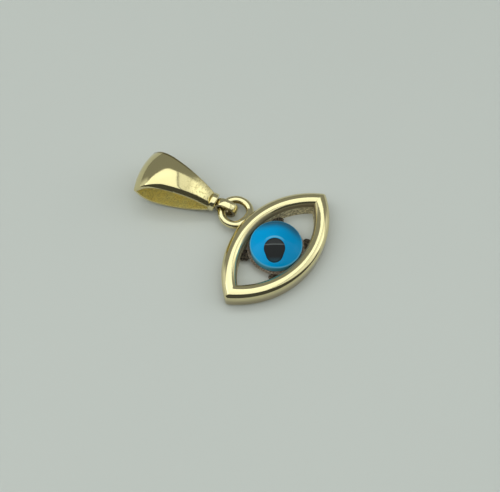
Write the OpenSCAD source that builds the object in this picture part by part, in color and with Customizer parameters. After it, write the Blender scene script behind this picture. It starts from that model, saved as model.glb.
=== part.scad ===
// Evil eye pendant, in millimetres. A polished gold rim in the outline of an eye
// holds a round blue glass with a black pupil on a seat plate. A ring is soldered
// to the rim, and the end loop of a folded strap bail is closed round that ring.
// The pendant lies on its back as it would on a table, face up. X runs along the
// eye, +Y points to the ring, and the origin is the middle of the eye on its back.

/* [Glass eye] */
// Diameter of the round blue glass
glass_d = 4.96; // [4:0.02:7]
// Height of the glass's straight edge
girdle_h = 0.8; // [0.4:0.05:1.4]
// Height of the dome above the straight edge
dome_h = 0.85; // [0.7:0.05:1.8]
// Room under the glass and round the pupil
glue_gap = 0.03; // [0.02:0.01:0.08]

/* [Pupil] */
// Width of the black pupil
pupil_w = 1.98; // [1.2:0.02:2.2]
// How much longer than wide the pupil is
pupil_stretch = 0.32; // [0.1:0.02:0.6]
// How much smaller the radius of its narrow end is
pupil_narrow = 0.18; // [0.02:0.01:0.4]
// Middle of the pupil along X, from the middle of the glass
pupil_x = -0.8; // [-0.9:0.02:0.9]
// Middle of the pupil along Y, from the middle of the glass
pupil_y = -0.46; // [-0.9:0.02:0.9]
// Direction of the pupil's narrow end, in degrees from X
pupil_turn = 221; // [0:1:360]
// Depth of the pupil's flat underside below the top of the dome
pupil_deep = 1; // [0.9:0.05:1.4]
// How far the pupil stands out of the dome
pupil_proud = 0.05; // [0.02:0.01:0.2]

/* [Rim] */
// Length of the eye, to the points where the arcs of its outline meet
eye_len = 14.52; // [12:0.02:20]
// How far those points lie below the middle of the glass
corner_drop = 0.08; // [-0.3:0.02:0.3]
// Width of the rim, seen from the front
rim_w = 1.4; // [0.8:0.05:2]
// Height of the rim
rim_h = 2.1; // [1.8:0.05:3]
// Place of the rim's crest, as a share of its width from the outer edge
crest_share = 0.56; // [0.44:0.01:0.6]
// Height of the rim's rounded top, as a share of its width
crown_share = 0.36; // [0.2:0.01:0.38]
// Radius of the rim's outer edge at the back
back_round = 0.4; // [0.1:0.05:0.6]
// Radius of the two corners of the eye, seen from the front
corner_r = 0.35; // [0.1:0.05:0.8]
// Room between the glass and the rim on each side
glass_room = 0.07; // [0.04:0.01:0.3]

/* [Seat plate] */
// Thickness of the plate that carries the glass
seat_t = 0.8; // [0.5:0.05:1]
// How far the plate reaches past the glass
seat_ledge = 0.26; // [0.15:0.01:0.5]
// How much the plate narrows to its back, on the radius
seat_taper = 0.4; // [0.1:0.05:0.8]
// Diameter of the solder fills between the plate and the rim
solder_d = 1.1; // [0.7:0.05:1.4]
// Distance of the solder fills from the middle, along X
solder_x = 2.4; // [2.1:0.05:2.8]
// Distance of the solder fills below the top of the plate
solder_low = 0.1; // [0.05:0.01:0.3]

/* [Soldered ring] */
// Diameter of the ring, to the middle of its wire
ring_d = 2.76; // [2.6:0.02:4]
// Thickness of the ring's wire
ring_wire = 0.76; // [0.4:0.02:0.8]
// How deep the ring is sunk in the rim's outer wall
ring_sink = 0.36; // [0.1:0.01:0.4]
// Distance of the ring from the middle of the eye, along X
ring_x = 0.32; // [-0.6:0.02:0.6]

/* [Bail strap] */
// Length of the bail's opening
opening_len = 7.2; // [5.5:0.1:10]
// Height of the bail's opening at its widest place
opening_h = 3.6; // [2.6:0.1:4.6]
// Place of the widest height, as a share of the opening's length from the neck
widest_share = 0.68; // [0.5:0.01:0.75]
// Inner radius of the strap where it folds over
fold_r = 0.44; // [0.3:0.02:0.7]
// Inner radius of the opening at the neck
neck_r = 0.09; // [0.05:0.01:0.2]
// Thickness of the strap
strap_t = 0.33; // [0.25:0.01:0.5]
// Width of the strap at the neck
strap_w_neck = 1.5; // [1.1:0.05:2]
// Width of the strap at the fold
strap_w_fold = 4.55; // [3:0.05:6]
// Radius of the strap's crown across its width
crown_r = 4.9; // [4:0.1:12]
// How far the fold bows out in the middle of its width
fold_bow = 0.3; // [0:0.05:0.5]
// Angle of the bail from the eye's short axis
bail_turn = 18.9; // [-30:0.1:30]

/* [Bail collar and loop] */
// Diameter of the collar between strap and loop
collar_d = 1.8; // [1.2:0.05:2]
// Length of the collar
collar_len = 0.62; // [0.5:0.02:0.8]
// Radius of the collar's edges
collar_round = 0.16; // [0.05:0.01:0.25]
// How far the collar and the loop sit to one side of the strap
loop_side = 0.1; // [-0.2:0.01:0.2]
// Distance from the opening's narrow end to the loop's hole
loop_root = 0.67; // [0.65:0.01:1]
// Length of the loop's hole
hole_len = 1.6; // [1.3:0.01:2.2]
// Height of the loop's hole
hole_h = 1.24; // [1.1:0.01:1.28]
// Thickness of the loop
loop_t = 0.36; // [0.25:0.01:0.5]
// Width of the loop
loop_w = 0.84; // [0.5:0.02:1.15]
// Radius of the loop's rounded outer face
loop_crown = 1.1; // [0.6:0.01:1.2]
// Room between the loop and the ring's wire
link_gap = 0.06; // [0.04:0.01:0.15]

/* [Hidden] */
$fn = 96;

gold = [0.82, 0.73, 0.41];
turquoise = [0.02, 0.55, 0.8];
black = [0.06, 0.06, 0.07];

// Overlap that joins shapes of one solid
merge = 0.02;

// Outline of the eye: an upper and a lower arc, both as far from the glass
eye_w = glass_d + 2 * (glass_room + rim_w);
half_len = eye_len / 2;
half_w = eye_w / 2;
function arc_radius(rise) = (half_len * half_len + rise * rise) / (2 * rise);
upper_r = arc_radius(half_w + corner_drop);
lower_r = arc_radius(half_w - corner_drop);
upper_y = half_w - upper_r;
lower_y = lower_r - half_w;

// Height of the upper arc and depth of the lower arc, at an inset from the outline
function above(x, inset) = upper_y + sqrt(pow(upper_r - inset, 2) - x * x);
function below(x, inset) = lower_y - sqrt(pow(lower_r - inset, 2) - x * x);

// Point at +X where both arcs meet, at the given inset from the outline
function meeting(inset) = let (
    a = upper_r - inset,
    b = lower_r - inset,
    gap = lower_y - upper_y,
    y = (a * a - b * b + gap * gap) / (2 * gap)
) [sqrt(a * a - y * y), upper_y + y];

// Levels of the glass above the back
glass_z = seat_t + glue_gap;
dome_z = glass_z + girdle_h;
apex_z = dome_z + dome_h;
glass_r = glass_d / 2;
dome_r = (glass_r * glass_r + dome_h * dome_h) / (2 * dome_h);

// Ring, level with the middle of the loop that holds it
loop_r = hole_h / 2 + loop_t;
ring_r = ring_d / 2;
wire_r = ring_wire / 2;
ring_y = above(ring_x, 0) + ring_r + wire_r - ring_sink;
ring_z = loop_r;

// Side outline of the bail's opening: a small arc at the neck, a long arc up to
// the widest place, a long arc down again and a small arc inside the fold
widest_x = opening_len * widest_share;
rise = opening_h / 2;
fold_x = opening_len - fold_r;
function long_arc_r(run, end_r) = (run * run + rise * rise - end_r * end_r) / (2 * (rise - end_r));
neck_arc_r = long_arc_r(widest_x - neck_r, neck_r);
fold_arc_r = long_arc_r(fold_x - widest_x, fold_r);
neck_arc_end = atan2(neck_arc_r - rise, neck_r - widest_x);
fold_arc_end = atan2(fold_arc_r - rise, fold_x - widest_x);

function arc_points(centre, r, from, to, steps) =
    [for (i = [1:steps]) let (a = from + (to - from) * i / steps) centre + r * [cos(a), sin(a)]];

// Upper half of that outline, moved out by the given distance
function upper_side(out) = concat(
    arc_points([neck_r, 0], neck_r + out, 180, neck_arc_end, 2),
    arc_points([widest_x, rise - neck_arc_r], neck_arc_r + out, neck_arc_end, 90, 8),
    arc_points([widest_x, rise - fold_arc_r], fold_arc_r + out, 90, fold_arc_end, 7),
    arc_points([fold_x, 0], fold_r + out, fold_arc_end, 0, 5)
);
function closed_side(out) = let (half = upper_side(out), last = len(half) - 1) concat(
    [[-out, 0]], half, [for (i = [last - 1:-1:0]) [half[i].x, -half[i].y]]);

// Points of the strap across its width, at one point of the side outline. The
// crown sinks the edges towards the middle plane and fades out at the fold.
across_steps = 8;
crown_fade = 0.7;
bow_power = 6;
function strap_half_w(x) =
    (strap_w_neck + (strap_w_fold - strap_w_neck) * max(x, 0) / opening_len) / 2;
function strap_row(p) = [for (j = [0:across_steps]) let (
    share = 2 * j / across_steps - 1,
    y = share * strap_half_w(p.x),
    drop = y * y / (2 * crown_r) * p.y / norm([p.y, crown_fade]),
    bow = fold_bow * share * share * pow(max(p.x, 0) / opening_len, bow_power)
) [p.x - bow, y, p.y - drop]];

// Loop: two half circles with a short straight between them
hole_r = hole_h / 2;
loop_back_x = -(loop_root + hole_r);
loop_front_x = -(loop_root + hole_len - hole_r);

// Pitch at which the bail lies on its loop and on the belly of its strap
function lie_angle(p) = let (run = p.x - loop_front_x)
    acos(loop_r / norm([run, p.y])) - atan2(run, p.y);
bail_pitch = max([for (p = upper_side(strap_t)) if (norm([p.x - loop_front_x, p.y]) > loop_r) lie_angle(p)]);
bail_z = loop_r - loop_front_x * sin(bail_pitch);
bail_reach = ring_r + wire_r + link_gap + loop_root * cos(bail_pitch);
bail_angle = 90 + bail_turn;

// Rounded top of the rim: an arc from its crest to each wall, and a lap of that wall
crest = crest_share * rim_w;
crown_h = crown_share * rim_w;
wall_h = rim_h - crown_h - merge;

module crown_side(run) {
    arc_r = (run * run + crown_h * crown_h) / (2 * crown_h);
    intersection() {
        translate([0, rim_h - arc_r]) circle(arc_r);
        translate([0, wall_h - merge]) square([run, rim_h]);
    }
}

// Section of a round plate that has the rim's outer side for its edge
module plate_section(r) {
    square([r - crest, rim_h]);
    translate([r - crest, 0]) crown_side(crest);
    translate([0, back_round]) square([r, wall_h - back_round]);
    square([r - back_round, wall_h]);
    translate([r - back_round, back_round]) circle(back_round);
}

// Section of a hole through that plate that has the rim's inner side for its wall
module hole_section(r) {
    crest_r = r - crest - merge;
    run = rim_w - crest - merge;
    difference() {
        translate([0, -merge]) square([crest_r, rim_h + 2 * merge]);
        translate([crest_r - run, -2 * merge]) square([rim_w, wall_h + 2 * merge]);
        translate([crest_r, 0]) mirror([1, 0]) crown_side(run);
    }
}

function mirrored(p) = [-p.x, p.y];

// Plan of the eye with its two corners rounded
module eye_plan() {
    corner = meeting(corner_r);
    upper_end = [0, upper_y] + (corner - [0, upper_y]) * upper_r / (upper_r - corner_r);
    lower_end = [0, lower_y] + (corner - [0, lower_y]) * lower_r / (lower_r - corner_r);
    intersection() {
        translate([0, upper_y]) circle(upper_r + merge);
        translate([0, lower_y]) circle(lower_r + merge);
        polygon([upper_end, lower_end, [0, -eye_len], mirrored(lower_end), mirrored(upper_end),
            [0, eye_len]]);
    }
    translate(corner) circle(corner_r);
    translate(mirrored(corner)) circle(corner_r);
}

module rim() {
    difference() {
        intersection() {
            translate([0, upper_y, 0]) rotate_extrude() plate_section(upper_r);
            translate([0, lower_y, 0]) rotate_extrude() plate_section(lower_r);
            translate([0, 0, -merge]) linear_extrude(rim_h + 2 * merge) eye_plan();
        }
        intersection() {
            translate([0, upper_y, 0]) rotate_extrude() hole_section(upper_r);
            translate([0, lower_y, 0]) rotate_extrude() hole_section(lower_r);
        }
    }
}

module seat_plate() {
    seat_r = glass_r + seat_ledge;
    cylinder(h = seat_t, r1 = seat_r - seat_taper, r2 = seat_r);
    for (x = [-solder_x, solder_x])
        for (y = [above(x, rim_w) - solder_d / 4, below(x, rim_w) + solder_d / 4])
            translate([x, y, solder_low]) cylinder(h = seat_t - 2 * solder_low, d = solder_d);
}

module soldered_ring() {
    translate([ring_x, ring_y, ring_z]) rotate_extrude() translate([ring_r, 0]) circle(wire_r);
}

module eye_frame() {
    color(gold) union() {
        rim();
        seat_plate();
        soldered_ring();
    }
}

// Plan of the pupil, moved out by the given distance: two circles and their tangents
module pupil_plan(out) {
    big = pupil_w / 2 + out;
    small = big - pupil_narrow;
    run = pupil_stretch + pupil_narrow;
    lean = acos(pupil_narrow / run);
    edge = [cos(lean), sin(lean)];
    translate([pupil_x, pupil_y]) rotate(pupil_turn) translate([-pupil_stretch / 2, 0]) {
        circle(big);
        translate([run, 0]) circle(small);
        polygon([[0, 0], [big * edge.x, -big * edge.y], [run + small * edge.x, -small * edge.y],
            [run + small * edge.x, small * edge.y], [big * edge.x, big * edge.y]]);
    }
}

// Solid under the dome from the given level up, its dome raised by the given distance
module domed(level, raised, r) {
    rotate_extrude() intersection() {
        translate([0, apex_z - dome_r]) circle(dome_r + raised, $fn = 4 * $fn);
        translate([0, level]) square([r, apex_z]);
    }
}

module glass_eye() {
    color(turquoise) difference() {
        domed(glass_z, 0, glass_r);
        translate([0, 0, apex_z - pupil_deep - glue_gap]) linear_extrude(apex_z) pupil_plan(glue_gap);
    }
}

module pupil() {
    color(black) intersection() {
        domed(apex_z - pupil_deep, pupil_proud, glass_r);
        translate([0, 0, apex_z - pupil_deep - merge]) linear_extrude(apex_z) pupil_plan(0);
    }
}

// Strap folded round the opening, as one closed skin of small facets
module strap() {
    outer = [for (p = closed_side(strap_t)) strap_row(p)];
    inner = [for (p = closed_side(0)) strap_row(p)];
    rows = len(outer);
    row_len = across_steps + 1;
    skin = rows * row_len;
    function at(i, j) = (i % rows) * row_len + j;
    function quad(a, b, c, d) = [[a, b, c], [a, c, d]];
    faces = [for (i = [0:rows - 1]) each concat(
        [for (j = [0:across_steps - 1]) each quad(at(i, j), at(i, j + 1), at(i + 1, j + 1), at(i + 1, j))],
        [for (j = [0:across_steps - 1])
            each quad(skin + at(i, j), skin + at(i + 1, j), skin + at(i + 1, j + 1), skin + at(i, j + 1))],
        quad(at(i, 0), at(i + 1, 0), skin + at(i + 1, 0), skin + at(i, 0)),
        quad(at(i, across_steps), skin + at(i, across_steps), skin + at(i + 1, across_steps),
            at(i + 1, across_steps))
    )];
    polyhedron([for (row = concat(outer, inner)) each row], faces);
}

// Barrel between the strap and the loop, its axis along the bail
module collar() {
    r = collar_d / 2;
    rotate([0, -90, 0]) translate([0, 0, -collar_len / 3]) rotate_extrude() {
        square([r - collar_round, collar_len]);
        translate([0, collar_round]) square([r, collar_len - 2 * collar_round]);
        for (z = [collar_round, collar_len - collar_round])
            translate([r - collar_round, z]) circle(collar_round);
    }
}

// Section of the loop with its rounded outer face on the right
module loop_section() {
    intersection() {
        translate([hole_r, -loop_w / 2]) square([loop_t, loop_w]);
        translate([loop_r - loop_crown, 0]) circle(loop_crown);
    }
}

module loop() {
    for (end = [[loop_back_x, -90], [loop_front_x, 90]])
        translate([end[0], 0, 0]) rotate([90, 0, 0]) rotate(end[1])
            rotate_extrude(angle = 180) loop_section();
    for (flip = [0, 180])
        rotate([flip, 0, 0]) translate([loop_front_x, 0, 0]) rotate([0, -90, 180])
            linear_extrude(loop_back_x - loop_front_x) loop_section();
}

module bail() {
    place = [cos(bail_angle), sin(bail_angle)] * bail_reach;
    color(gold) translate([ring_x + place.x, ring_y + place.y, bail_z])
        rotate([0, 0, bail_angle]) rotate([0, -bail_pitch, 0]) union() {
            strap();
            translate([0, -loop_side, 0]) {
                collar();
                loop();
            }
        }
}

eye_frame();
glass_eye();
pupil();
bail();
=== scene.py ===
from math import acos, asin, atan2, cos, exp, hypot, pi, radians, sin, sqrt, tan, tau

import bmesh
import bpy
from mathutils import Matrix, Vector, noise


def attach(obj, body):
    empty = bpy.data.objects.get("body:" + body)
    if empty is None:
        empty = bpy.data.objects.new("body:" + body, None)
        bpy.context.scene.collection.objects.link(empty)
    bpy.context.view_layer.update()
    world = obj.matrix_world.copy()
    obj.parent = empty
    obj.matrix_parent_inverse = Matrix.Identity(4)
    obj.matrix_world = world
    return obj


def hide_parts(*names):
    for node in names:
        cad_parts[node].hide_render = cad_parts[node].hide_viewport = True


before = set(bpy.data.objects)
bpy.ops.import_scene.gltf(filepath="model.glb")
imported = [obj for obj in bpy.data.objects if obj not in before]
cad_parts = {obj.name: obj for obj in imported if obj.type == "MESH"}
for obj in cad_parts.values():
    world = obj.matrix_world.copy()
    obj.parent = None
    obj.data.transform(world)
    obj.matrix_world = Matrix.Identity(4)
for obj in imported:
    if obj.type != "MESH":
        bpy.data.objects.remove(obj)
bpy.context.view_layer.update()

# Pieces are modelled in millimetres and scaled once when they are finished
MM = 0.001

# Glass eye and its pupil
GLASS_R = 2.48
GIRDLE_H = 0.8
DOME_H = 0.85
GLUE_GAP = 0.03
PUPIL_W = 1.98
PUPIL_STRETCH = 0.32
PUPIL_NARROW = 0.18
PUPIL_AT = (-0.8, -0.46)
PUPIL_TURN = radians(221)
PUPIL_DEEP = 1.0
PUPIL_PROUD = 0.05
PUPIL_EDGE = 0.12
GLASS_EDGE = 0.07

# Rim of the eye
EYE_LEN = 14.52
CORNER_DROP = 0.08
RIM_W = 1.4
RIM_H = 2.1
BACK_ROUND = 0.4
CORNER_R = 0.35
CREST_INSET = 0.56 * RIM_W
CROWN_H = 0.36 * RIM_W
SHOULDER_ROUND = 0.035
LOWER_LEAN = 0.05
GLASS_ROOM = 0.07

# Seat plate and the solder that holds it
SEAT_T = 0.8
SEAT_LEDGE = 0.26
SEAT_TAPER = 0.4
SOLDER_D = 1.1
SOLDER_X = 2.4
SOLDER_LOW = 0.1
PLATE_EDGE = 0.05

# Lumps of the solder: how many a millimetre, and how high
SOLDER_LUMPS = ((3, 0.16), (11, 0.07))

# Ring that is soldered to the rim
RING_D = 2.76
RING_WIRE = 0.76
RING_SINK = 0.36
RING_X = 0.32

# Where it is soldered, its wire is thicker by this share, over this length
FLARE = 0.3
FLARE_LEN = 0.3

# Strap of the bail
OPENING_LEN = 7.2
OPENING_H = 3.6
WIDEST_SHARE = 0.68
FOLD_R = 0.44
NECK_R = 0.09
STRAP_T = 0.33
STRAP_W_NECK = 1.5
STRAP_W_FOLD = 4.55
CROWN_R = 4.9
CROWN_FADE = 0.7
FOLD_BOW = 0.3
BOW_POWER = 6
STRAP_EDGE = 0.025
BAIL_TURN = radians(18.9)

# Width and drop of the sloped outer edges of the strap's near and far side
NEAR_EDGE = (0.44, 0.36)
FAR_EDGE = (0.12, 0.06)

# Their share of the points across the strap, how softly they start, how far from the fold the
# near ones begin to narrow, and the shares of their size and of their drop left at the fold
EDGE_SHARE = 1 / 3
EDGE_START = 0.4
EDGE_TAPER = 2.4
EDGE_LEAST = 0.2
DROP_LEAST = 0.4

# Swell of the upper leg of the strap towards its near side
SWELL = 0.12
SWELL_POWER = 1.5

# Collar and end loop of the bail
COLLAR_D = 1.8
COLLAR_LEN = 0.62
COLLAR_ROUND = 0.16
LOOP_SIDE = 0.1
LOOP_ROOT = 0.67
HOLE_LEN = 1.6
HOLE_H = 1.24
LOOP_T = 0.36
LOOP_W = 0.84
LOOP_CROWN = 1.1
LOOP_EDGE = 0.04
LINK_GAP = 0.06

# Steps round each piece
RIM_STEPS = 192
CORNER_STEPS = 10
PLATE_STEPS = 128
RING_STEPS = 128
GLASS_STEPS = 160
PUPIL_STEPS = 96
STRAP_STEPS = 200
BELLY_STEPS = 400
COLLAR_STEPS = 96
LOOP_STEPS = 120

# Steps along the round sections, and cuts in the straight sides of the others
WIRE_STEPS = 32
DOME_STEPS = 32
RIM_CUTS = 31
PUPIL_CUTS = 19
STRAP_CUTS = 35
LOOP_CUTS = 15

# Distances too small to see: for picking out points of a section, and for joining points
HAIR = 0.02
WELD = 1e-4

# The camera's place round the pendant, and the directions away from it and to its right
VIEW_AZ = radians(48.95)
TO_FAR = (sin(VIEW_AZ), cos(VIEW_AZ), 0)
TO_RIGHT = (cos(VIEW_AZ), -sin(VIEW_AZ), 0)

# Outline of the eye: an upper and a lower arc
HALF_LEN = EYE_LEN / 2
HALF_W = GLASS_R + GLASS_ROOM + RIM_W


def arc_radius(rise):
    """Radius of the arc over the eye's length that rises so far in its middle."""
    return (HALF_LEN ** 2 + rise ** 2) / (2 * rise)


UPPER_R = arc_radius(HALF_W + CORNER_DROP)
LOWER_R = arc_radius(HALF_W - CORNER_DROP)
UPPER_Y = HALF_W - UPPER_R
LOWER_Y = LOWER_R - HALF_W

# Levels of the glass
GLASS_Z = SEAT_T + GLUE_GAP
DOME_Z = GLASS_Z + GIRDLE_H
APEX_Z = DOME_Z + DOME_H
DOME_R = (GLASS_R ** 2 + DOME_H ** 2) / (2 * DOME_H)

# Ring and loop
HOLE_R = HOLE_H / 2
LOOP_R = HOLE_R + LOOP_T
RING_R = RING_D / 2
WIRE_R = RING_WIRE / 2
RING_Y = UPPER_Y + sqrt(UPPER_R ** 2 - RING_X ** 2) + RING_R + WIRE_R - RING_SINK
RING_Z = LOOP_R
LOOP_BACK_X = -(LOOP_ROOT + HOLE_R)
LOOP_FRONT_X = -(LOOP_ROOT + HOLE_LEN - HOLE_R)

# Side outline of the bail's opening
WIDEST_X = OPENING_LEN * WIDEST_SHARE
RISE = OPENING_H / 2
FOLD_X = OPENING_LEN - FOLD_R


def long_arc_r(run, end_r):
    """Radius of the arc from the widest place to an end's arc, which it meets smoothly."""
    return (run ** 2 + RISE ** 2 - end_r ** 2) / (2 * (RISE - end_r))


NECK_ARC_R = long_arc_r(WIDEST_X - NECK_R, NECK_R)
FOLD_ARC_R = long_arc_r(FOLD_X - WIDEST_X, FOLD_R)
NECK_ARC_END = atan2(NECK_ARC_R - RISE, NECK_R - WIDEST_X)
FOLD_ARC_END = atan2(FOLD_ARC_R - RISE, FOLD_X - WIDEST_X)


def meeting(inset):
    """Point at +X where both arcs of the eye meet, at an inset from its outline."""
    a, b, gap = UPPER_R - inset, LOWER_R - inset, LOWER_Y - UPPER_Y
    y = (a * a - b * b + gap * gap) / (2 * gap)
    return sqrt(a * a - y * y), UPPER_Y + y


# Modelling helpers

def section(width, height):
    """A flat face from the Z axis outwards, standing in the XZ plane."""
    bm = bmesh.new()
    bmesh.ops.create_grid(bm, x_segments=1, y_segments=1, size=0.5)
    bm.transform(Matrix.Translation((width / 2, 0, height / 2)) @ Matrix.Rotation(pi / 2, 4, "X")
                 @ Matrix.Diagonal((width, height, 1, 1)))
    return bm


def round_corners(bm, corners, radius, segments):
    bmesh.ops.bevel(bm, geom=corners, offset=radius, offset_type="OFFSET", segments=segments,
                    profile=0.5, affect="VERTICES", material=-1)


def outline_only(bm):
    """Keeps the closed line round a section."""
    cross_lines = [e for e in bm.edges if len(e.link_faces) == 2]
    bmesh.ops.delete(bm, geom=cross_lines, context="EDGES_FACES")
    bmesh.ops.delete(bm, geom=bm.faces[:], context="FACES_ONLY")


def soften(bm, edges, width, segments=3):
    bmesh.ops.bevel(bm, geom=edges, offset=width, offset_type="OFFSET", segments=segments,
                    profile=0.5, affect="EDGES", material=-1)


def sharp_edges(bm, angle):
    return [e for e in bm.edges if len(e.link_faces) == 2 and e.calc_face_angle(0) > radians(angle)]


def close_up(bm):
    bmesh.ops.remove_doubles(bm, verts=bm.verts[:], dist=WELD)
    bmesh.ops.recalc_face_normals(bm, faces=bm.faces[:])


def spun(bm, steps):
    """The section line turned once round the Z axis."""
    bmesh.ops.spin(bm, geom=bm.verts[:] + bm.edges[:], cent=(0, 0, 0), axis=(0, 0, 1), dvec=(0, 0, 0),
                   angle=tau, steps=steps, use_merge=True, use_duplicate=False)
    close_up(bm)
    return bm


def laid(bm, place):
    """Moves each vertex of a spun ring to where place(turn, radius, height) says."""
    for v in bm.verts:
        v.co = place(atan2(v.co.y, v.co.x) / tau % 1.0, hypot(v.co.x, v.co.y), v.co.z)
    close_up(bm)
    return bm


def finished(bm, name, finish, node, crease=38, inside=None):
    """Turns a model in millimetres into a piece that rides on the frame."""
    close_up(bm)
    for face in bm.faces:
        face.smooth = True
    for edge in bm.edges:
        edge.smooth = edge.calc_face_angle(0) < radians(crease)
    bm.transform(Matrix.Scale(MM, 4))
    mesh = bpy.data.meshes.new(name)
    bm.to_mesh(mesh)
    bm.free()
    mesh.materials.append(finish)
    if inside:
        mesh.materials.append(inside)
    piece = bpy.data.objects.new(name, mesh)
    bpy.context.scene.collection.objects.link(piece)
    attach(piece, "root")
    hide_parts(node)


# Material helpers

class Signal:
    """An output socket of a finish. Python's operators on it add Math nodes."""

    def __init__(self, finish, socket):
        self.finish = finish
        self.socket = socket

    def maths(self, operation, *values):
        return self.finish.node("ShaderNodeMath", {"operation": operation}, dict(enumerate(values)))

    def __add__(self, other):
        return self.maths("ADD", self, other)

    def __radd__(self, other):
        return self.maths("ADD", other, self)

    def __sub__(self, other):
        return self.maths("SUBTRACT", self, other)

    def __rsub__(self, other):
        return self.maths("SUBTRACT", other, self)

    def __mul__(self, other):
        return self.maths("MULTIPLY", self, other)

    def __rmul__(self, other):
        return self.maths("MULTIPLY", other, self)

    def __truediv__(self, other):
        return self.maths("DIVIDE", self, other)

    def least(self, other):
        return self.maths("MINIMUM", self, other)

    def most(self, other):
        return self.maths("MAXIMUM", self, other)

    def size(self):
        return self.maths("ABSOLUTE", self)

    def over(self, low, high):
        """0 below low, 1 above high and smooth between them."""
        return self.finish.node("ShaderNodeMapRange", {"interpolation_type": "SMOOTHSTEP"},
                                {"Value": self, "From Min": low, "From Max": high})


class Nodes:
    """The nodes of a material or of the studio round the object."""

    def __init__(self, tree):
        self.tree = tree

    def set(self, node, values):
        for key, value in values.items():
            socket = node.inputs[key] if isinstance(key, int) else next(
                s for s in node.inputs if s.name == key.replace("_", " ") and s.enabled)
            if isinstance(value, Signal):
                self.tree.links.new(value.socket, socket)
            else:
                socket.default_value = value

    def node(self, kind, settings=None, values=None, output=0):
        """Adds one node: its type, its settings, and the values or links of its sockets."""
        made = self.tree.nodes.new(kind)
        for key, value in (settings or {}).items():
            setattr(made, key, value)
        self.set(made, values or {})
        sockets = [s for s in made.outputs if s.enabled]
        return Signal(self, sockets[output] if isinstance(output, int) else made.outputs[output])

    def vector(self, operation, first, second, output=0):
        return self.node("ShaderNodeVectorMath", {"operation": operation}, {0: first, 1: second}, output)

    def distance(self, first, second):
        return self.vector("DISTANCE", first, second, "Value")

    def share_along(self, place, direction):
        """How far a place lies along a direction."""
        return self.vector("DOT_PRODUCT", place, direction, "Value")


class Finish(Nodes):
    """A procedural material in the making."""

    def __init__(self, name, **shader):
        self.material = bpy.data.materials.new(name)
        self.material.use_nodes = True
        super().__init__(self.material.node_tree)
        self.tree.nodes.clear()
        self.shader = self.tree.nodes.new("ShaderNodeBsdfPrincipled")
        out = self.tree.nodes.new("ShaderNodeOutputMaterial")
        self.tree.links.new(self.shader.outputs[0], out.inputs["Surface"])
        self.set(self.shader, shader)
        metres = self.node("ShaderNodeTexCoord", output="Object")
        self.place = self.vector("DIVIDE", metres, (MM, MM, MM))

    def flat(self):
        """The place on the piece seen from above."""
        return self.vector("MULTIPLY", self.place, (1, 1, 0))

    def level(self):
        """Height above the back, in millimetres."""
        return self.node("ShaderNodeSeparateXYZ", None, {"Vector": self.place}, "Z")

    def noise(self, per_mm, detail=3.0, stretch=(1, 1, 1), roughness=0.5):
        """Cloudy noise from 0 to 1, with per_mm patches a millimetre."""
        place = self.vector("MULTIPLY", self.place, stretch)
        return self.node("ShaderNodeTexNoise", None, {
            "Vector": place, "Scale": per_mm, "Detail": detail, "Roughness": roughness})

    def mix(self, share, first, second):
        return self.node("ShaderNodeMix", {"data_type": "RGBA"},
                         {"Factor": share, "A": first, "B": second})

    def bump(self, height, depth_mm):
        return self.node("ShaderNodeBump", None,
                         {"Height": height, "Distance": depth_mm * MM, "Strength": 1.0})

    def coat(self, **values):
        self.set(self.shader, values)
        return self.material


# Colours of the metal
PALE_GOLD = (0.84, 0.735, 0.43, 1)
GREEN_GOLD = (0.78, 0.69, 0.38, 1)
WARM_GOLD = (0.84, 0.72, 0.37, 1)
WALL_GOLD = (0.88, 0.78, 0.52, 1)
INNER_YELLOW = (0.92, 0.8, 0.26, 1)
INNER_ORANGE = (1.0, 0.8, 0.2, 1)
# Dark brown of the tarnished grain and specks, also used for painted shade on the rim
TARNISH_AND_SHADE = (0.24, 0.18, 0.11, 1)
# Dark brown of the strap's wear, also used for the painted shade line along its far edge
STRAP_WEAR_AND_SHADE = (0.24, 0.18, 0.06, 1)
# Painted shade for the loop's sides and its hole
LOOP_SHADE = (0.12, 0.085, 0.07, 1)
SOLDER_STAIN = (0.24, 0.16, 0.12, 1)
SOLDER_DARK = (0.03, 0.028, 0.024, 1)
SOLDER_LIGHT = (0.42, 0.34, 0.24, 1)
SEAT_DARK = (0.4, 0.29, 0.22, 1)
SEAT_LIGHT = (1.0, 0.86, 0.7, 1)

# Colours of the glass: its own azure and black, and colours for painted shade, painted highlights and a
# painted reflection on it
AZURE = (0.0, 0.38, 0.82, 1)
SHADED_AZURE = (0.0, 0.27, 0.57, 1)
SHADED_CRESCENT_BLUE = (0.02, 0.1, 0.17, 1)
HIGHLIGHT_BLUE = (0.2, 0.58, 0.78, 1)
SHADED_GIRDLE_BLUE = (0.03, 0.28, 0.42, 1)
PUPIL_BLACK = (0.012, 0.013, 0.014, 1)
REFLECTION_GREY = (0.035, 0.038, 0.04, 1)
NARROW_END_BLUE = (0.02, 0.055, 0.075, 1)
HIGHLIGHT_GREY = (0.14, 0.15, 0.15, 1)

# Depth of the faint waves in polished gold
WAVE_DEPTH = 0.012


def polished_gold(name, scuffs):
    """Polished 14 karat gold with faint waves and cloudy wear."""
    gold = Finish(name, Metallic=1.0)
    clouds = gold.noise(0.7, detail=4)
    wear = gold.noise(3.5, detail=5).over(0.5, 0.72)
    waves = gold.noise(0.5, detail=1)
    return gold.coat(
        Base_Color=gold.mix(clouds, PALE_GOLD, GREEN_GOLD),
        Roughness=0.06 + 0.04 * clouds + 0.1 * scuffs * wear,
        Normal=gold.bump(waves + 0.02 * scuffs * wear, WAVE_DEPTH))


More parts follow.
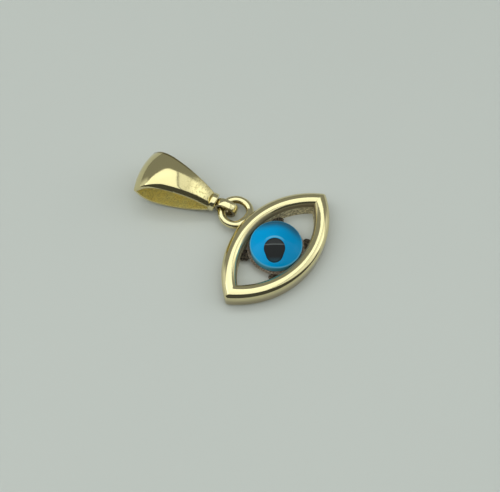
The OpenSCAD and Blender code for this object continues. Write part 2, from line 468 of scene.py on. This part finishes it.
def inner_gold():
    """Unpolished inside of the strap, warm and grainy."""
    gold = Finish("unpolished_gold", Metallic=0.35)
    grain = gold.noise(9, detail=5, roughness=0.7)
    patches = gold.noise(0.9, detail=3)
    colour = gold.mix(patches.over(0.3, 0.7), INNER_YELLOW, INNER_ORANGE)
    return gold.coat(
        Base_Color=gold.mix(grain.over(0.4, 0.52), gold.mix(0.55, colour, TARNISH_AND_SHADE), colour),
        Roughness=0.4 + 0.25 * grain,
        Normal=gold.bump(grain, 0.12))


# Heights over which the painted shade at the top of the inner wall starts and the painted shade low on
# the outer wall ends
TOP_SHADE_FROM = (1.2, 1.4)
SHADE_TO = (0.6, 1.9)

# Lengths off the middle of the glass over which the wider painted shade on the lip beside it ends
LIP_BY_GLASS_TO = (2.8, 3.5)

# Insets from the rim's outline over which its parts start, or end in the outer wall's case
OUTER_WALL_TO = (0.02, 0.1)
LIP_BY_GLASS_FROM = (RIM_W - 0.4, RIM_W - 0.1)
LIP_FROM = (RIM_W - 0.16, RIM_W - 0.05)
INSIDE_FROM = (RIM_W - 0.12, RIM_W - 0.02)
INNER_WALL_FROM = (RIM_W - 0.03, RIM_W - 0.01)


def rim_gold():
    """Polished gold whose inner walls keep speckles low down, with painted shade above them, along the
    inner edge beside the glass and low on the outer wall.
    """
    gold = Finish("rim_gold", Specular_IOR_Level=0.1)
    flat, level = gold.flat(), gold.level()
    inset = (UPPER_R - gold.distance(flat, (0, UPPER_Y, 0))).least(
        LOWER_R - gold.distance(flat, (0, LOWER_Y, 0)))
    inside = inset.over(*INSIDE_FROM)
    wall = inset.over(*INNER_WALL_FROM) * (1 - level.over(*TOP_SHADE_FROM))
    by_glass = 1 - gold.distance(flat, (0, 0, 0)).over(*LIP_BY_GLASS_TO)
    # Painted shade along the rim's inner edge, wider beside the glass, which also dulls the metal there
    lip_shade = (inset.over(*LIP_BY_GLASS_FROM) * by_glass).most(inset.over(*LIP_FROM)) * (1 - wall)
    specks = gold.noise(4.5, detail=6, roughness=0.7)
    dirt_and_shade = wall * specks.over(0.44, 0.56)
    # Painted shade at the top of the inner wall, in the dark brown
    stain_and_shade = inside * level.over(*TOP_SHADE_FROM)
    # Painted shade low on the outer wall, darker towards the bottom
    outer_wall_shade = (1 - inset.over(*OUTER_WALL_TO)) * (1 - level.over(*SHADE_TO))
    polish_lines = gold.node("ShaderNodeTexNoise", {"noise_dimensions": "1D"},
                             {"W": inset, "Scale": 3.0, "Detail": 3.0})
    streaks = gold.noise(1.6, detail=2, stretch=(0, 0, 1)) + polish_lines
    clouds = gold.noise(0.7, detail=4)
    waves = gold.noise(0.5, detail=1)
    colour = gold.mix(wall, gold.mix(clouds, PALE_GOLD, GREEN_GOLD), WALL_GOLD)
    # Dark brown on the real specks, and as painted shade on the outer wall, the top of the inner wall
    # and the inner edge
    marks_and_shade = (0.7 * dirt_and_shade).most(0.65 * outer_wall_shade).most(0.75 * stain_and_shade).most(0.85 * lip_shade)
    return gold.coat(
        Base_Color=gold.mix(marks_and_shade, colour, TARNISH_AND_SHADE),
        Metallic=1 - 0.6 * wall - 0.3 * lip_shade,
        Roughness=0.06 + 0.04 * clouds + 0.5 * wall.most(lip_shade) + 0.12 * inside,
        Normal=gold.bump(waves + 0.12 * streaks + 2.5 * specks * inside, WAVE_DEPTH))


def solder_gold(name, dark, light):
    """Rough unpolished gold, stained brown and speckled."""
    solder = Finish(name, Metallic=0.7)
    grain = solder.noise(6, detail=6, roughness=0.75)
    stain_and_shade = solder.noise(1.6, detail=3).over(0.4, 0.65)
    speckled = solder.mix(grain.over(0.45, 0.65), dark, light)
    return solder.coat(
        Base_Color=solder.mix(0.3 * stain_and_shade, speckled, SOLDER_STAIN),
        Roughness=0.3 + 0.3 * grain,
        Normal=solder.bump(grain, 0.25))


# Middle of the pupil's round end
PUPIL_ROUND = (PUPIL_AT[0] - cos(PUPIL_TURN) * PUPIL_STRETCH / 2,
               PUPIL_AT[1] - sin(PUPIL_TURN) * PUPIL_STRETCH / 2, 0)

# Distances over which the painted light and shade in the blue glass come and go: to the right, from its
# middle, to the far side, from the pupil's round end, and in height
SHADED_SIDE_FROM = (-2.2, 1.6)
CRESCENT_FROM = (1.2, 2.2)
HIGHLIGHT_EDGE_FROM = (GLASS_R - 0.14, GLASS_R - 0.04)
CRESCENT_FAR = (0.5, 2.0)
ARC_FROM = (1.0, 1.1)
ARC_TO = (1.16, 1.3)
GIRDLE_SHADE_TO = (DOME_Z - 0.2, DOME_Z + 0.04)

# Distance to the far side, divided by that from the pupil's round end, over which the painted highlight
# arc starts
ARC_FAR = (-0.1, 0.3)

# Distances to the far side, and to the right, over which the painted reflection, the painted highlight
# line and the blue narrow end in the pupil come and go
LINE_FROM = (-0.46, -0.4)
LINE_TO = (-0.38, -0.28)
LINE_FAINT_FROM = (0.3, 0.8)
NARROW_END_TO = (-2.0, -1.5)


def blue_glass():
    """Turquoise glass, lighter on the left and in painted shade on the right, with painted shade on a
    far crescent and the girdle, and painted highlights round its rim and in an arc.
    """
    glass = Finish("turquoise_glass", IOR=1.45, Specular_IOR_Level=0.13)
    flat = glass.flat()
    radius = glass.distance(flat, (0, 0, 0))
    to_far = glass.share_along(flat, TO_FAR)
    to_right = glass.share_along(flat, TO_RIGHT)
    from_pupil = glass.distance(flat, PUPIL_ROUND)
    clouds = glass.noise(0.9, detail=2)
    # Painted light: lighter on the left and in painted shade towards the right, broken up by clouds
    body = glass.mix((to_right + 1.6 * (clouds - 0.5)).over(*SHADED_SIDE_FROM), AZURE, SHADED_AZURE)
    # Painted shade on a crescent along the far edge of the dome
    shade_crescent = radius.over(*CRESCENT_FROM) * (to_far + 0.3 * to_right).over(*CRESCENT_FAR)
    body = glass.mix(0.9 * shade_crescent, body, SHADED_CRESCENT_BLUE)
    # Painted highlights: a pale line round the glass's edge and a pale arc above the pupil
    highlight_arc = (from_pupil.over(*ARC_FROM) * (1 - from_pupil.over(*ARC_TO))
           * (to_far / from_pupil).over(*ARC_FAR))
    body = glass.mix(0.6 * radius.over(*HIGHLIGHT_EDGE_FROM).most(highlight_arc), body, HIGHLIGHT_BLUE)
    # Painted shade on the girdle, below the dome
    body = glass.mix(0.5 * (1 - glass.level().over(*GIRDLE_SHADE_TO)), body, SHADED_GIRDLE_BLUE)
    return glass.coat(
        Base_Color=body,
        Roughness=0.06 + 0.05 * clouds,
        Normal=glass.bump(glass.noise(0.6, detail=1), 0.02))


def black_glass():
    """Black glass with a painted reflection on a greyer cap behind a painted highlight line, and blue
    where its narrow end thins.
    """
    glass = Finish("black_glass", IOR=1.4, Specular_IOR_Level=0.2)
    to_far = glass.share_along(glass.place, TO_FAR)
    to_right = glass.share_along(glass.place, TO_RIGHT)
    clouds = glass.noise(1.6, detail=3)
    uneven = to_far + 0.1 * clouds
    # Painted reflection: the far cap greyer, edged by a painted highlight line that fades to the right
    reflected_cap = uneven.over(*LINE_FROM)
    highlight_line = reflected_cap * (1 - uneven.over(*LINE_TO)) * (1 - 0.4 * to_right.over(*LINE_FAINT_FROM))
    body = glass.mix(0.6 * reflected_cap, PUPIL_BLACK, REFLECTION_GREY)
    body = glass.mix(1 - to_far.over(*NARROW_END_TO), body, NARROW_END_BLUE)
    return glass.coat(
        Base_Color=glass.mix(0.8 * highlight_line, body, HIGHLIGHT_GREY),
        Roughness=0.07 + 0.05 * clouds)


RIM_FINISH = rim_gold()
INNER_FINISH = inner_gold()
RING_FINISH = polished_gold("ring_gold", scuffs=0.7)
SOLDER_FINISH = solder_gold("rough_solder", SOLDER_DARK, SOLDER_LIGHT)
SEAT_FINISH = solder_gold("seat_gold", SEAT_DARK, SEAT_LIGHT)
BLUE_FINISH = blue_glass()
BLACK_FINISH = black_glass()


# Rim

# Shares of a turn round the rim that each corner and each bar takes
CORNER_SHARE = CORNER_STEPS / RIM_STEPS
ARC_SHARE = 0.5 - CORNER_SHARE


def on_outline(turn, inset):
    """Place on the eye's outline, moved in by the inset, with rounded corners."""
    corner = meeting(max(inset, CORNER_R))
    upper_end = atan2(corner[1] - UPPER_Y, corner[0])
    lower_end = atan2(LOWER_Y - corner[1], corner[0])
    lower_half = turn >= 0.5
    turn = turn % 0.5
    if turn < ARC_SHARE:
        share = turn / ARC_SHARE
        if lower_half:
            angle, r, centre = pi + lower_end + (pi - 2 * lower_end) * share, LOWER_R - inset, LOWER_Y
        else:
            angle, r, centre = upper_end + (pi - 2 * upper_end) * share, UPPER_R - inset, UPPER_Y
        return r * cos(angle), centre + r * sin(angle)
    share = (turn - ARC_SHARE) / CORNER_SHARE
    side = 1 if lower_half else -1
    angle = (-lower_end if lower_half else pi - upper_end) + (upper_end + lower_end) * share
    r = max(CORNER_R - inset, 0)
    return side * corner[0] + r * cos(angle), corner[1] + r * sin(angle)


def rim():
    """A bar with a domed top, its outer side at radius 1, laid inwards along the outline."""
    bm = section(RIM_W, RIM_H)
    bm.transform(Matrix.Translation((1, 0, 0)))
    top = [e for e in bm.edges if all(v.co.z > RIM_H / 2 for v in e.verts)]
    bmesh.ops.subdivide_edges(bm, edges=top, cuts=RIM_CUTS)
    crest = 1 + RIM_W - CREST_INSET
    for v in bm.verts:
        if v.co.z > RIM_H / 2:
            half = CREST_INSET if v.co.x > crest else RIM_W - CREST_INSET
            r = (half ** 2 + CROWN_H ** 2) / (2 * CROWN_H)
            v.co.z -= r - sqrt(r ** 2 - (v.co.x - crest) ** 2)
    shoulders = [v for v in bm.verts if abs(v.co.z - RIM_H + CROWN_H) < HAIR]
    round_corners(bm, shoulders, SHOULDER_ROUND, 3)
    back = [v for v in bm.verts if v.co.z < HAIR and v.co.x > 1 + RIM_W / 2]
    round_corners(bm, back, BACK_ROUND, 6)
    outline_only(bm)

    def place(turn, radius, height):
        across = (radius - 1) / RIM_W
        lower_bar = min(max(min(turn - 0.5, 1 - turn) / CORNER_SHARE, 0), 1)
        lean = 4 * LOWER_LEAN * lower_bar * across * (1 - across) * (height / RIM_H) ** 4
        return *on_outline(turn, RIM_W * (1 - across - lean)), height
    return laid(spun(bm, RIM_STEPS), place)


finished(rim(), "rim", RIM_FINISH, "eye_frame", crease=24)


# Seat plate and solder

def seat_plate():
    """The round plate under the glass, narrower at the back."""
    bm = bmesh.new()
    seat_r = GLASS_R + SEAT_LEDGE
    bmesh.ops.create_cone(bm, cap_ends=True, segments=PLATE_STEPS, radius1=seat_r - SEAT_TAPER,
                          radius2=seat_r, depth=SEAT_T)
    bm.transform(Matrix.Translation((0, 0, SEAT_T / 2)))
    soften(bm, sharp_edges(bm, 30), PLATE_EDGE)
    return bm


def solder_fills():
    """Four lumps of solder that fill the narrow gaps between the plate and the rim's bars."""
    bm = bmesh.new()
    lump = Matrix.Diagonal((SOLDER_D / 2, SOLDER_D / 2, SEAT_T / 2 - SOLDER_LOW, 1))
    for x in (-SOLDER_X, SOLDER_X):
        for side, centre, r in ((1, UPPER_Y, UPPER_R), (-1, LOWER_Y, LOWER_R)):
            y = centre + side * (sqrt((r - RIM_W) ** 2 - x * x) - SOLDER_D / 4)
            bmesh.ops.create_icosphere(bm, subdivisions=5, radius=1,
                                       matrix=Matrix.Translation((x, y, SEAT_T / 2)) @ lump)
    bm.normal_update()
    for v in bm.verts:
        v.co += v.normal * sum(height * noise.noise(v.co * per_mm) for per_mm, height in SOLDER_LUMPS)
        v.co.z = max(v.co.z, SOLDER_LOW / 2)
    return bm


finished(seat_plate(), "seat_plate", SEAT_FINISH, "eye_frame")
finished(solder_fills(), "solder_fills", SOLDER_FINISH, "eye_frame")


# Soldered ring

def soldered_ring():
    """The wire ring, which flares where it is soldered to the rim."""
    bm = bmesh.new()
    bmesh.ops.create_circle(bm, segments=WIRE_STEPS, radius=WIRE_R)
    bm.transform(Matrix.Translation((RING_R, 0, 0)) @ Matrix.Rotation(pi / 2, 4, "X"))
    spun(bm, RING_STEPS)

    def place(turn, radius, height):
        angle = turn * tau
        out = RING_X + RING_R * cos(angle), RING_Y + RING_R * sin(angle)
        clear = max(hypot(out[0], out[1] - UPPER_Y) - UPPER_R, 0)
        flare = 1 + FLARE * exp(-(clear / FLARE_LEN) ** 2)
        reach = RING_R + (radius - RING_R) * flare
        return RING_X + reach * cos(angle), RING_Y + reach * sin(angle), RING_Z + height * flare
    return laid(bm, place)


finished(soldered_ring(), "soldered_ring", RING_FINISH, "eye_frame")


# Glass

def glass_eye():
    """Round glass with a straight girdle and a low dome."""
    bm = bmesh.new()
    low = bm.verts.new((0, 0, GLASS_Z))
    corner = bm.verts.new((GLASS_R, 0, GLASS_Z))
    shoulder = bm.verts.new((GLASS_R, 0, DOME_Z))
    bm.edges.new((low, corner))
    bm.edges.new((corner, shoulder))
    bmesh.ops.spin(bm, geom=[shoulder], cent=(0, 0, APEX_Z - DOME_R), axis=(0, 1, 0), dvec=(0, 0, 0),
                   angle=-asin(GLASS_R / DOME_R), steps=DOME_STEPS)
    spun(bm, GLASS_STEPS)
    soften(bm, sharp_edges(bm, 30), GLASS_EDGE, 4)
    return bm


finished(glass_eye(), "glass", BLUE_FINISH, "glass_eye")


def pupil():
    """Black glass, wider at one end, whose top follows the dome and whose edge is rounded."""
    bm = bmesh.new()
    middle = bm.verts.new((0, 0, 0))
    edge = bm.verts.new((1, 0, 0))
    low = bm.verts.new((1, 0, -1))
    under = bm.verts.new((0, 0, -1))
    top = bm.edges.new((middle, edge))
    bm.edges.new((edge, low))
    bm.edges.new((low, under))
    bmesh.ops.subdivide_edges(bm, edges=[top], cuts=PUPIL_CUTS)
    spun(bm, PUPIL_STEPS)
    big = PUPIL_W / 2
    run = PUPIL_STRETCH + PUPIL_NARROW
    lean = PUPIL_NARROW / run

    def place(turn, radius, height):
        angle = turn * tau
        narrow_end = cos(angle) > lean
        r = big - PUPIL_NARROW if narrow_end else big
        along = (run if narrow_end else 0) - PUPIL_STRETCH / 2
        spot = Matrix.Rotation(PUPIL_TURN, 2) @ Vector((
            (along + r * cos(angle)) * radius, r * sin(angle) * radius))
        x, y = PUPIL_AT[0] + spot.x, PUPIL_AT[1] + spot.y
        if height < -0.5:
            return x, y, APEX_Z - PUPIL_DEEP
        top = APEX_Z - DOME_R + sqrt((DOME_R + PUPIL_PROUD) ** 2 - x * x - y * y)
        drop = min(max((radius - 1 + PUPIL_EDGE) / PUPIL_EDGE, 0), 1)
        return x, y, top - PUPIL_PROUD * (1 - sqrt(1 - drop * drop))
    return laid(bm, place)


finished(pupil(), "pupil_glass", BLACK_FINISH, "pupil")


# Strap of the bail

# Arcs of its side outline from the neck to the fold: the share of the way where each ends,
# its centre, its radius, and its first and last angle
SIDE_ARCS = (
    (0.08, (NECK_R, 0), NECK_R, pi, NECK_ARC_END),
    (0.46, (WIDEST_X, RISE - NECK_ARC_R), NECK_ARC_R, NECK_ARC_END, pi / 2),
    (0.8, (WIDEST_X, RISE - FOLD_ARC_R), FOLD_ARC_R, pi / 2, FOLD_ARC_END),
    (1.0, (FOLD_X, 0), FOLD_R, FOLD_ARC_END, 0.0),
)


def strap_side(turn, out):
    """Place on the side outline of the opening, moved out."""
    lower = turn > 0.5
    share = 2 * (1 - turn) if lower else 2 * turn
    start = 0.0
    for end, centre, r, first, last in SIDE_ARCS:
        if share <= end:
            break
        start = end
    angle = first + (last - first) * (share - start) / (end - start)
    height = centre[1] + (r + out) * sin(angle)
    return centre[0] + (r + out) * cos(angle), -height if lower else height


# How much wider the strap gets with each millimetre from its neck
WIDENING = (STRAP_W_FOLD - STRAP_W_NECK) / OPENING_LEN


def strap_half_w(x):
    return (STRAP_W_NECK + WIDENING * max(x, 0)) / 2


def on_strap(x, height, share):
    """Strap's crown, taper and bowed fold at a share of its half width."""
    y = share * strap_half_w(x)
    drop = y * y / (2 * CROWN_R) * height / hypot(height, CROWN_FADE)
    bow = FOLD_BOW * share * share * (max(x, 0) / OPENING_LEN) ** BOW_POWER
    return x - bow, y, height - drop


def strap():
    """The strap, two wide while it is spun, whose outer edges slope away, mostly the near ones."""
    bm = section(STRAP_T, 2)
    bm.transform(Matrix.Translation((1, 0, -1)))
    long_edges = [e for e in bm.edges if e.calc_length() > 1]
    bmesh.ops.subdivide_edges(bm, edges=long_edges, cuts=STRAP_CUTS)
    outline_only(bm)
    spun(bm, STRAP_STEPS)
    for face in bm.faces:
        face.material_index = all(hypot(v.co.x, v.co.y) < 1 + STRAP_T / 2 for v in face.verts)

    def place(turn, radius, height):
        out = radius - 1
        x, z = strap_side(turn, out)
        edge_w, edge_t = FAR_EDGE
        if height > 0 and turn < 0.5:
            taper = min(max((OPENING_LEN - x) / EDGE_TAPER, EDGE_LEAST), 1)
            edge_w, edge_t = (size * taper for size in NEAR_EDGE)
        down = max((abs(height) - 1 + EDGE_SHARE) / EDGE_SHARE, 0)
        half = strap_half_w(x)
        y = min(abs(height) / (1 - EDGE_SHARE), 1) * (half - edge_w) + edge_w * down
        if out > STRAP_T / 2:
            level = max((abs(z) / hypot(z, CROWN_FADE)) ** 2, DROP_LEAST if turn < 0.5 else 0)
            slope = (hypot(down, EDGE_START) - EDGE_START) / (hypot(1, EDGE_START) - EDGE_START)
            swell = SWELL * (y / half) ** SWELL_POWER if height > 0 and z > 0 else 0
            x, z = strap_side(turn, out + level * (swell - edge_t * slope))
        return on_strap(x, z, y / half if height > 0 else -y / half)
    laid(bm, place)
    soften(bm, sharp_edges(bm, 40), STRAP_EDGE, 2)
    return bm


def collar():
    """The short rounded collar at the strap's neck."""
    bm = section(COLLAR_D / 2, COLLAR_LEN)
    round_corners(bm, [v for v in bm.verts if v.co.x > COLLAR_D / 4], COLLAR_ROUND, 8)
    outline_only(bm)
    axis = [e for e in bm.edges if all(v.co.x < HAIR for v in e.verts)]
    bmesh.ops.delete(bm, geom=axis, context="EDGES")
    spun(bm, COLLAR_STEPS)
    bm.transform(Matrix.Translation((0, -LOOP_SIDE, 0)) @ Matrix.Rotation(-pi / 2, 4, "Y")
                 @ Matrix.Translation((0, 0, -COLLAR_LEN / 3)))
    return bm


# Share of a turn round the loop that each of its two bends takes
BEND_SHARE = 0.4


def end_loop():
    """The closed loop that holds the ring, with a crowned outer face."""
    bm = section(LOOP_T, LOOP_W)
    bm.transform(Matrix.Translation((1, 0, -LOOP_W / 2)))
    outer = [e for e in bm.edges if all(v.co.x > 1 + LOOP_T / 2 for v in e.verts)]
    bmesh.ops.subdivide_edges(bm, edges=outer, cuts=LOOP_CUTS)
    for v in bm.verts:
        if v.co.x > 1 + LOOP_T / 2:
            v.co.x = 1 + LOOP_T - LOOP_CROWN + sqrt(LOOP_CROWN ** 2 - v.co.z ** 2)
    outline_only(bm)

    def place(turn, radius, height):
        r = HOLE_R + radius - 1
        side, bend_x, next_x = 1, LOOP_BACK_X, LOOP_FRONT_X
        if turn >= 0.5:
            side, bend_x, next_x = -1, LOOP_FRONT_X, LOOP_BACK_X
        turn = turn % 0.5
        if turn < BEND_SHARE:
            angle = pi * (turn / BEND_SHARE - 0.5)
            return bend_x + side * r * cos(angle), height - LOOP_SIDE, side * r * sin(angle)
        share = (turn - BEND_SHARE) / (0.5 - BEND_SHARE)
        return bend_x + (next_x - bend_x) * share, height - LOOP_SIDE, side * r
    laid(spun(bm, LOOP_STEPS), place)
    soften(bm, sharp_edges(bm, 50), LOOP_EDGE)
    return bm


# The bail rests on its loop's front bend and on the belly of its strap

def lie_angle(x, z):
    """How far the fold tips up for a place on the belly to lie as low as the loop's front bend."""
    run = x - LOOP_FRONT_X
    return acos(LOOP_R / hypot(run, z)) - atan2(run, z)


belly = [strap_side(i / BELLY_STEPS, STRAP_T) for i in range(BELLY_STEPS)]
BAIL_PITCH = max(lie_angle(x, z) for x, z in belly if z > 0 and hypot(x - LOOP_FRONT_X, z) > LOOP_R)
BAIL_Z = LOOP_R - LOOP_FRONT_X * sin(BAIL_PITCH)
BAIL_REACH = RING_R + WIRE_R + LINK_GAP + LOOP_ROOT * cos(BAIL_PITCH)
BAIL_ANGLE = pi / 2 + BAIL_TURN
BAIL_PLACE = (Matrix.Translation((RING_X + BAIL_REACH * cos(BAIL_ANGLE),
                                  RING_Y + BAIL_REACH * sin(BAIL_ANGLE), BAIL_Z))
              @ Matrix.Rotation(BAIL_ANGLE, 4, "Z") @ Matrix.Rotation(-BAIL_PITCH, 4, "Y"))

# Distances over which the painted shade and the wear on the bail come and go: across it, above its
# middle, and along it from the neck
LOOP_SIDE_FROM = (LOOP_W / 2 - 0.03, LOOP_W / 2 - 0.005)
LOOP_HOLE_TO = (HOLE_R + 0.02, HOLE_R + 0.12)
LOOP_HOLE_FROM = (LOOP_FRONT_X - HOLE_R - 0.1, LOOP_FRONT_X - HOLE_R + 0.1)
WORN_TO = (2.6, 4.6)
FAR_LINE_FROM = (1.5, 3.5)

# Shares of the strap's half width over which the painted shade line along its far edge ends
FAR_LINE_TO = (-0.92, -0.84)


def on_bail(gold):
    """Distances along, across and above the bail's own axes, in millimetres."""
    offset = gold.vector("SUBTRACT", gold.place, BAIL_PLACE.translation)
    return [gold.share_along(offset, BAIL_PLACE.col[i].xyz) for i in range(3)]


def loop_gold():
    """Polished gold with mottled painted shade on the loop's sides and in its hole."""
    gold = Finish("loop_gold", Metallic=1.0)
    along, across, height = on_bail(gold)
    clouds = gold.noise(1.5, detail=4)
    sides = (across + LOOP_SIDE).size().over(*LOOP_SIDE_FROM)
    hole = (1 - height.size().over(*LOOP_HOLE_TO)) * along.over(*LOOP_HOLE_FROM)
    # Painted shade, mottled, on the loop's sides and in its hole
    dirt_and_shade = sides.most(hole) * (0.6 + 0.4 * gold.noise(6, detail=4).over(0.4, 0.6))
    colour = gold.mix(clouds, PALE_GOLD, GREEN_GOLD)
    return gold.coat(
        Base_Color=gold.mix(0.85 * dirt_and_shade, colour, LOOP_SHADE),
        Roughness=0.07 + 0.05 * clouds + 0.25 * dirt_and_shade,
        Normal=gold.bump(clouds, 0.02))


def strap_gold():
    """Polished gold, worn towards the neck, with a painted shade line along its far edge."""
    gold = Finish("strap_gold", Metallic=1.0)
    clouds = gold.noise(0.7, detail=4)
    waves = gold.noise(0.5, detail=1)
    wear = gold.noise(4, detail=5, roughness=0.65)
    along, across, _ = on_bail(gold)
    share = across / (0.5 * (STRAP_W_NECK + WIDENING * along))
    worn = 1 - (along + 1.5 * wear).over(*WORN_TO)
    # Painted shade: a dark line along the strap's far edge
    far_edge_shade = (1 - share.over(*FAR_LINE_TO)) * along.over(*FAR_LINE_FROM)
    grain = gold.noise(14, detail=2)
    dark = (0.9 * far_edge_shade).most(0.5 * worn * wear.over(0.42, 0.66)).most(0.14 * grain)
    return gold.coat(
        Base_Color=gold.mix(dark, gold.mix(clouds, WARM_GOLD, GREEN_GOLD), STRAP_WEAR_AND_SHADE),
        Roughness=0.07 + 0.05 * clouds + 0.12 * worn * wear,
        Normal=gold.bump(waves + 0.5 * worn * wear + 0.04 * grain, WAVE_DEPTH))


for model, name, finish, inside in ((strap(), "strap", strap_gold(), INNER_FINISH),
                                    (collar(), "collar", RING_FINISH, None),
                                    (end_loop(), "end_loop", loop_gold(), None)):
    model.transform(BAIL_PLACE)
    finished(model, name, finish, "bail", inside=inside)


# Camera at the photograph's angle

# The photograph's size, its lens and the place of the glass's middle in it, in pixels
PHOTO_W, PHOTO_H = 500, 492
FOCAL_PX = 800
EYE_PX = (275.6, 251.7)
PX_PER_MM = 10.48

# Angle at which the camera looks down, its sensor in millimetres, and the nearest and the
# farthest that it sees, in metres
VIEW_EL = radians(63.8)
SENSOR_W = 36
NEAREST = 0.001
FARTHEST = 10

right = Vector(TO_RIGHT)
away = Vector(TO_FAR)
upright = Vector((0, 0, 1))
up = away * sin(VIEW_EL) + upright * cos(VIEW_EL)
forward = away * cos(VIEW_EL) - upright * sin(VIEW_EL)
distance = FOCAL_PX / PX_PER_MM
eye_right = (EYE_PX[0] - PHOTO_W / 2) / PX_PER_MM
eye_up = (PHOTO_H / 2 - EYE_PX[1]) / PX_PER_MM
camera_data = bpy.data.cameras.new("camera")
camera_data.sensor_width = SENSOR_W
camera_data.lens = SENSOR_W * FOCAL_PX / PHOTO_W
camera_data.clip_start = NEAREST
camera_data.clip_end = FARTHEST
camera = bpy.data.objects.new("camera", camera_data)
camera.matrix_world = (Matrix.Translation(-(right * eye_right + up * eye_up + forward * distance) * MM)
                       @ Matrix((right, up, -forward)).transposed().to_4x4())
bpy.context.scene.collection.objects.link(camera)
bpy.context.scene.camera = camera


# Floor and light

FLOOR_GREY = (0.615, 0.63, 0.605, 1)
FLOOR_PALE = (0.645, 0.66, 0.635, 1)
FLOOR_HALF = 1.5


def pale_floor():
    floor = Finish("pale_floor", Specular_IOR_Level=0.3)
    shade = floor.noise(0.02, detail=3)
    return floor.coat(Base_Color=floor.mix(shade, FLOOR_GREY, FLOOR_PALE),
                      Roughness=0.6 + 0.1 * shade)


floor_bm = bmesh.new()
bmesh.ops.create_grid(floor_bm, x_segments=1, y_segments=1, size=FLOOR_HALF)
floor_mesh = bpy.data.meshes.new("floor")
floor_bm.to_mesh(floor_mesh)
floor_bm.free()
floor_mesh.materials.append(pale_floor())
floor = bpy.data.objects.new("floor", floor_mesh)
bpy.context.scene.collection.objects.link(floor)

STUDIO_WHITE = (0.94, 1.0, 0.96)
PANEL_H = 0.3

# Soft lights overhead: where each starts and ends, away from the camera and to its right, in
# degrees off the zenith, and how strongly it glows
PANELS = (
    ("main_panel", -39, 31, -62, 25.5, 1.2),
    ("right_panel", -39, 31, 28, 74, 0.84),
    ("far_strip", 20, 22, -20, 16, 5),
)


def panel(name, glow, angles):
    near, far, left, right_end = (PANEL_H * tan(radians(angle)) for angle in angles)
    light = bpy.data.lights.new(name, "AREA")
    light.shape = "RECTANGLE"
    light.size = right_end - left
    light.size_y = far - near
    light.energy = glow * pi * light.size * light.size_y
    light.color = STUDIO_WHITE
    lamp = bpy.data.objects.new(name, light)
    lamp.matrix_world = (Matrix.Rotation(-VIEW_AZ, 4, "Z")
                         @ Matrix.Translation(((left + right_end) / 2, (near + far) / 2, PANEL_H)))
    bpy.context.scene.collection.objects.link(lamp)


for name, *angles, glow in PANELS:
    panel(name, glow, angles)

# Dim studio round the pendant, lighter on its far side, with a glow to the left and right: how
# strong each is, and between which directions it comes and goes
ROOM_GLOW = 0.07
FAR_GLOW = 0.2
FAR_FROM = (-0.5, 0.5)
SIDE_GLOW = 0.5
SIDE_ASIDE = (0.45, 0.65)
SIDE_NEAR = (-0.1, 0.05)
SIDE_FAR = (0.38, 0.55)

world = bpy.data.worlds.new("studio")
bpy.context.scene.world = world
world.use_nodes = True
sky = Nodes(world.node_tree)
direction = sky.node("ShaderNodeTexCoord", output="Generated")
far = sky.share_along(direction, TO_FAR)
aside = sky.share_along(direction, TO_RIGHT)
sides = (aside * aside).over(*SIDE_ASIDE) * far.over(*SIDE_NEAR) * (1 - far.over(*SIDE_FAR))
sky.set(sky.tree.nodes["Background"], {
    "Color": (*STUDIO_WHITE, 1),
    "Strength": ROOM_GLOW + FAR_GLOW * far.over(*FAR_FROM) + SIDE_GLOW * sides})
bpy.context.scene.view_settings.view_transform = "Standard"
